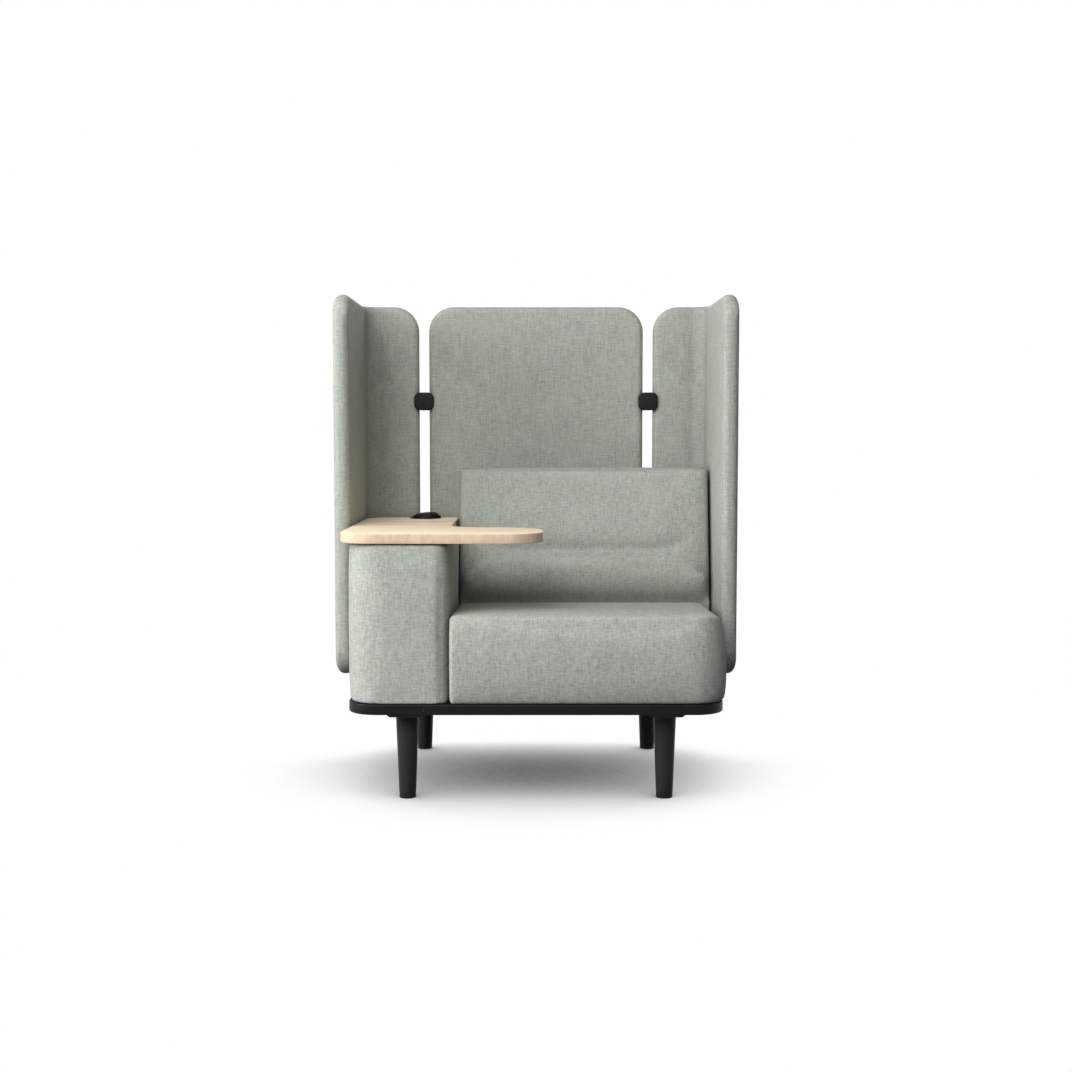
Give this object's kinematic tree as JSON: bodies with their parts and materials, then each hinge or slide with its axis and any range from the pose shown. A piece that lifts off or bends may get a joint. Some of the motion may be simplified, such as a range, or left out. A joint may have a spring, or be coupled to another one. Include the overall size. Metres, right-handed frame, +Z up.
{
  "type": "acoustic high-back lounge chair",
  "caption": "Padded lounge seat on a black rail base with tapered legs, an arm box under an L-shaped wooden side table with a power unit, and tall padded screens on three sides.",
  "frame": {"origin": "middle of the footprint, on the floor under the glides", "axes": "+Z up, +X to the right as the chair is faced, +Y from the front to the back"},
  "size_m": [1.036, 0.7726, 1.241],
  "materials": {
    "seat_cloth": "woven",
    "screen_cloth": "woven",
    "rail_paint": "satin",
    "leg_paint": "satin",
    "black_plastic": "matte",
    "bright_steel": "zinc plated",
    "plywood": "raw",
    "birch_board": "matt lacquer"
  },
  "bodies": {
    "chair": {"front_rail": "rail_paint", "rear_rail": "rail_paint", "left_rail": "rail_paint", "right_rail": "rail_paint", "leg_bracket_front_left": "rail_paint", "leg_bracket_front_right": "rail_paint", "leg_bracket_rear_left": "rail_paint", "leg_bracket_rear_right": "rail_paint", "leg_front_left": "leg_paint", "leg_front_right": "leg_paint", "leg_rear_left": "leg_paint", "leg_rear_right": "leg_paint", "deck_board": "plywood", "cross_bar_left": "rail_paint", "cross_bar_right": "rail_paint", "seat_cushion": "seat_cloth", "arm_jacket": "seat_cloth", "arm_carcass": "plywood", "table_mount_plate": "rail_paint", "tabletop": "birch_board", "power_flange": "black_plastic", "power_insert": "black_plastic", "power_inlet": "black_plastic", "power_ring_nut": "black_plastic", "power_lid_pin": "bright_steel", "back_cushion": "seat_cloth", "back_board": "plywood", "upright_left": "rail_paint", "upright_right": "rail_paint", "screen_spacer_left": "black_plastic", "screen_spacer_right": "black_plastic", "screen_centre": "screen_cloth", "screen_left": "screen_cloth", "screen_right": "screen_cloth", "clip_left_front": "black_plastic", "clip_left_rear": "black_plastic", "clip_left_screw_lower": "bright_steel", "clip_left_screw_upper": "bright_steel", "clip_right_front": "black_plastic", "clip_right_rear": "black_plastic", "clip_right_screw_lower": "bright_steel", "clip_right_screw_upper": "bright_steel", "screen_strap_left_front": "rail_paint", "screen_strap_right_front": "rail_paint", "screen_strap_left_rear": "rail_paint", "screen_strap_right_rear": "rail_paint", "strap_bolt_left_front": "bright_steel", "strap_bolt_right_front": "bright_steel", "strap_bolt_left_rear": "bright_steel", "strap_bolt_right_rear": "bright_steel"},
    "glide_fl": {"glide_front_left": "black_plastic"},
    "glide_fr": {"glide_front_right": "black_plastic"},
    "glide_rl": {"glide_rear_left": "black_plastic"},
    "glide_rr": {"glide_rear_right": "black_plastic"},
    "lid": {"power_lid": "black_plastic"}
  },
  "joints": [
    {"name": "glide_fl_screw", "type": "slide", "parent": "chair", "child": "glide_fl", "axis": [0, 0, -1], "range_m": [0, 0.01]},
    {"name": "glide_fr_screw", "type": "slide", "parent": "chair", "child": "glide_fr", "axis": [0, 0, -1], "range_m": [0, 0.01]},
    {"name": "glide_rl_screw", "type": "slide", "parent": "chair", "child": "glide_rl", "axis": [0, 0, -1], "range_m": [0, 0.01]},
    {"name": "glide_rr_screw", "type": "slide", "parent": "chair", "child": "glide_rr", "axis": [0, 0, -1], "range_m": [0, 0.01]},
    {"name": "power_lid_hinge", "type": "hinge", "parent": "chair", "child": "lid", "pos_m": [-0.2699, 0.2657, 0.65355], "axis": [0, 1, 0], "range_deg": [0, 100]}
  ]
}
